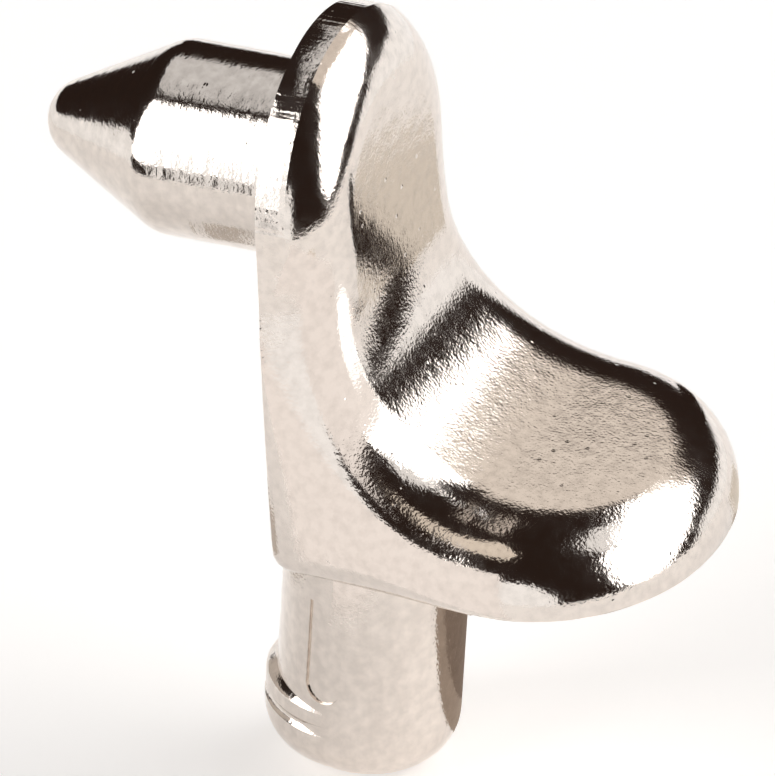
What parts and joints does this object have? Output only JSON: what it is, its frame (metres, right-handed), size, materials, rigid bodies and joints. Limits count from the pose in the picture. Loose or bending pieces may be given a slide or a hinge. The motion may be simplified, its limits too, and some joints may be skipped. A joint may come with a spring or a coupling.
{
  "type": "shelf support pin",
  "caption": "One-piece cast shelf support: a barbed peg for the cabinet side, a rounded foot, a flat arched seat and a round locating pin with a tapered nose.",
  "frame": {"origin": "the point where the wall peg's axis leaves the flat wall face", "axes": "+Y along the locating pin, out of the seat; -Z out of the wall face, the way the peg points apart from its lean of 7 degrees towards +Y; X across, the part is mirror-symmetric about x = 0"},
  "size_m": [0.0108, 0.0179, 0.0214],
  "materials": {
    "nickel_plate": "bright nickel plate over a slightly rough zinc casting"
  },
  "bodies": {
    "root": {"shelf_support": "nickel_plate"}
  },
  "joints": []
}
